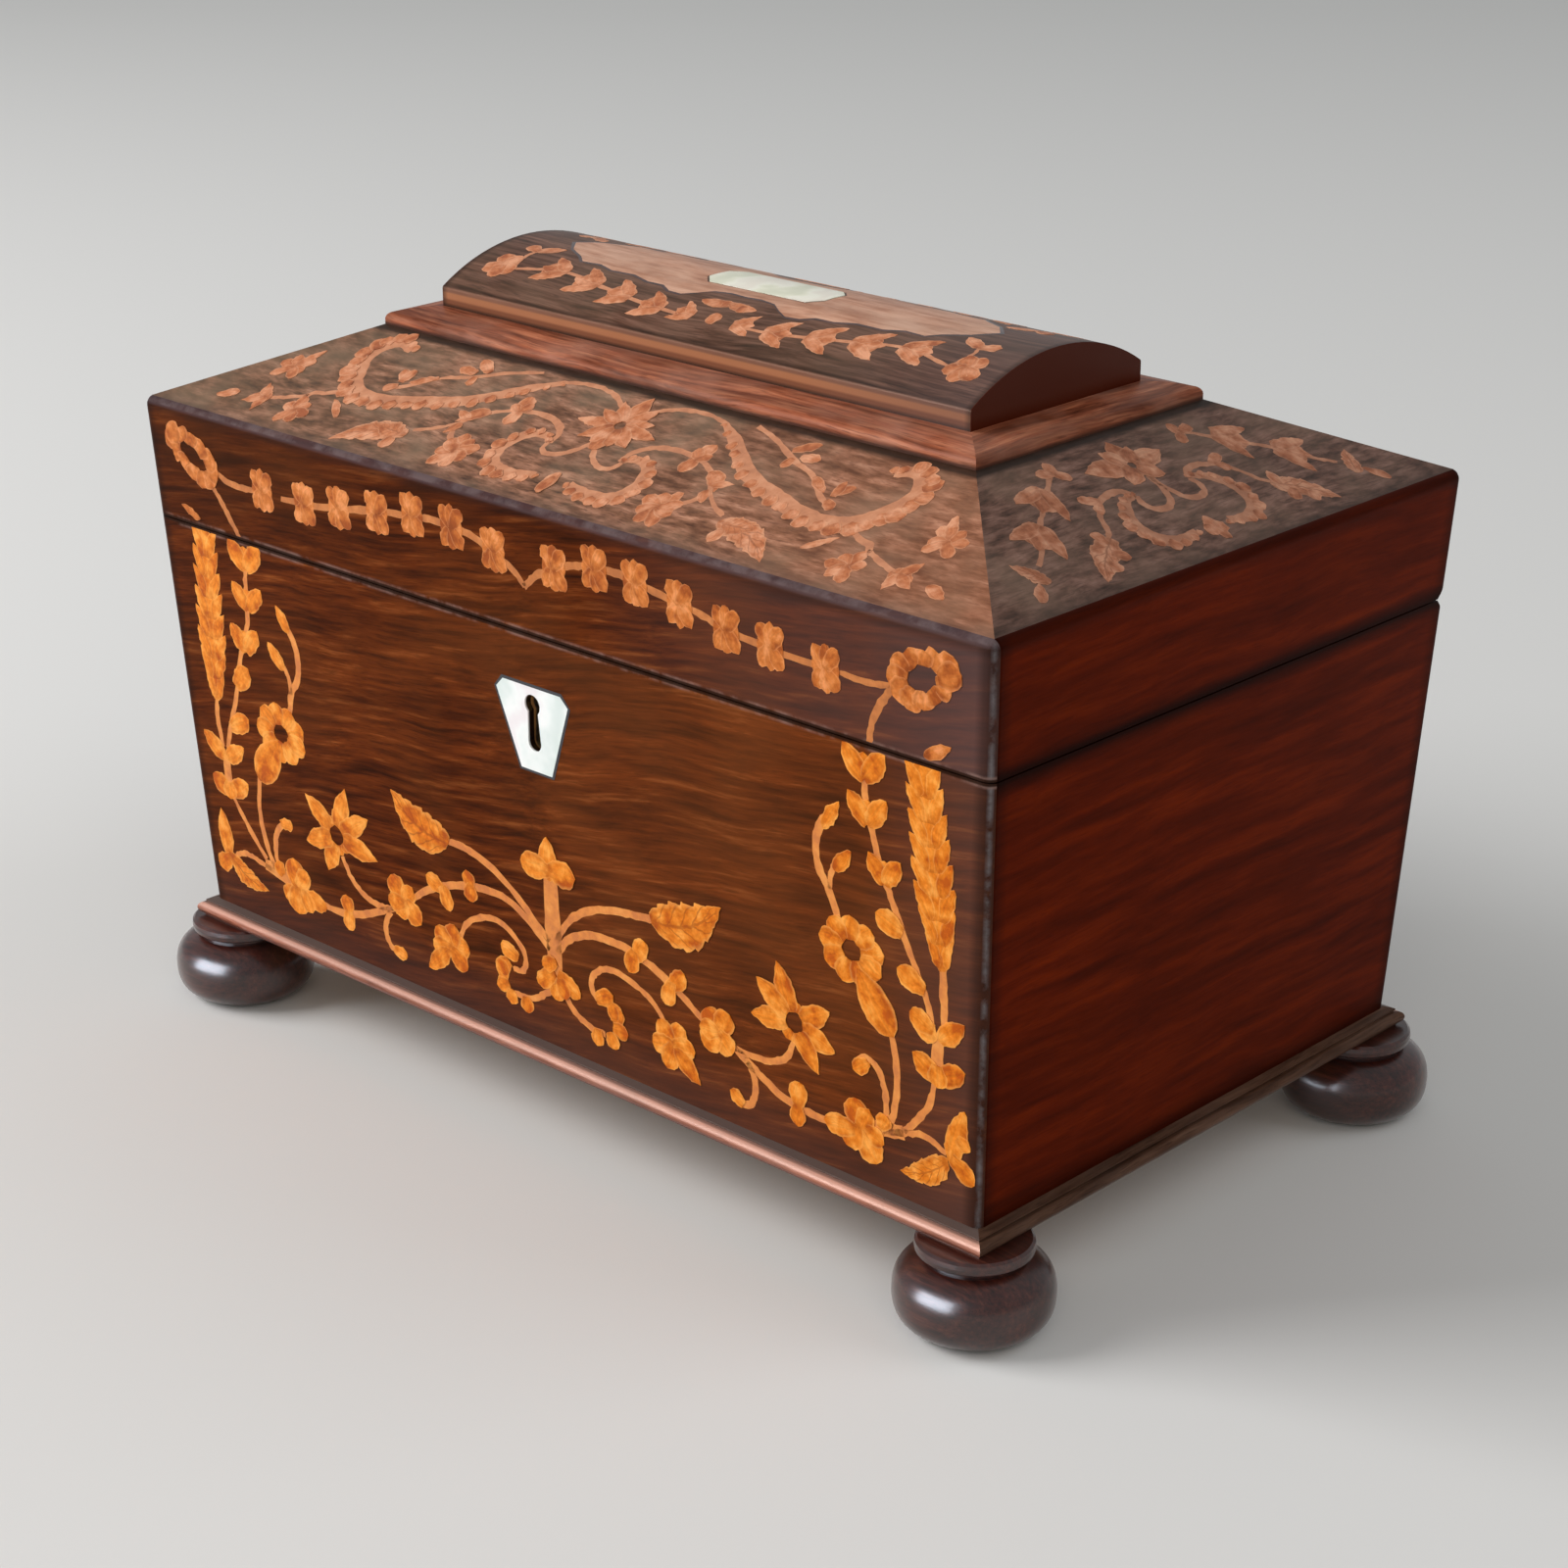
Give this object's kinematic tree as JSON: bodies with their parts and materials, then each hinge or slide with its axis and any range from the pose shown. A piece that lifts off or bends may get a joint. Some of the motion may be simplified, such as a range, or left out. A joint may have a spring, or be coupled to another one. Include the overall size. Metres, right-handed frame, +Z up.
{
  "type": "tea caddy",
  "caption": "Tapered wooden tea caddy on bun feet: a hinged lid with slopes, plinth and arched top over foil-lined compartments with loose panels, and a keyed box lock.",
  "frame": {"origin": "on the table under the middle of the box", "axes": "+X to the right along the front, +Y to the back, +Z up"},
  "size_m": [0.2406, 0.1496, 0.1643],
  "materials": {
    "rosewood_veneer": "french polished",
    "rosewood": "french polished",
    "mahogany": "waxed",
    "pine": "plain, aged",
    "brass": "aged",
    "steel": "aged",
    "tin_foil": "dull, burnished by hand",
    "mother_of_pearl": "polished nacre",
    "velvet": "cotton velvet"
  },
  "bodies": {
    "box": {"back_board": "pine", "back_left_foot": "rosewood", "back_lining": "pine", "back_right_foot": "rosewood", "back_veneer": "rosewood_veneer", "base_moulding_back": "rosewood", "base_moulding_front": "rosewood", "base_moulding_left": "rosewood", "base_moulding_right": "rosewood", "bolt_spring": "steel", "bottom_board": "pine", "divider": "pine", "escutcheon": "mother_of_pearl", "front_board": "pine", "front_left_foot": "rosewood", "front_lining": "pine", "front_right_foot": "rosewood", "front_veneer": "rosewood_veneer", "hinge_pins": "brass", "left_board": "pine", "left_foil_lining": "tin_foil", "left_hinge_lower_leaf": "brass", "left_lining": "pine", "left_veneer": "rosewood_veneer", "lock_case": "steel", "lock_plate": "brass", "lock_screws": "brass", "lower_hinge_screws": "brass", "right_board": "pine", "right_foil_lining": "tin_foil", "right_hinge_lower_leaf": "brass", "right_lining": "pine", "right_veneer": "rosewood_veneer"},
    "lid": {"lid_back_board": "pine", "lid_back_slope": "rosewood_veneer", "lid_back_veneer": "rosewood_veneer", "lid_front_board": "pine", "lid_front_slope": "rosewood_veneer", "lid_front_veneer": "rosewood_veneer", "lid_left_board": "pine", "lid_left_slope": "rosewood_veneer", "lid_left_veneer": "rosewood_veneer", "lid_pad": "velvet", "lid_right_board": "pine", "lid_right_slope": "rosewood_veneer", "lid_right_veneer": "rosewood_veneer", "plinth_moulding": "rosewood", "cushion_top": "rosewood_veneer", "plaque": "mother_of_pearl", "link_plate": "brass", "link_plate_screws": "brass", "left_hinge_upper_leaf": "brass", "right_hinge_upper_leaf": "brass", "upper_hinge_screws": "brass"},
    "lock_bolt": {"lock_bolt": "steel"},
    "left_panel": {"left_panel": "mahogany", "left_knob": "rosewood"},
    "right_panel": {"right_panel": "mahogany", "right_knob": "rosewood"}
  },
  "joints": [
    {"name": "lid_hinge", "type": "hinge", "parent": "box", "child": "lid", "pos_m": [0, 0.06553, 0.1093], "axis": [-1, 0, 0], "range_deg": [0, 95]},
    {"name": "bolt_throw", "type": "slide", "parent": "box", "child": "lock_bolt", "axis": [1, 0, 0], "range_m": [0, 0.0034]},
    {"name": "left_panel_lift", "type": "slide", "parent": "box", "child": "left_panel", "axis": [0, 0, 1], "range_m": [0, 0.009]},
    {"name": "right_panel_lift", "type": "slide", "parent": "box", "child": "right_panel", "axis": [0, 0, 1], "range_m": [0, 0.009]}
  ]
}
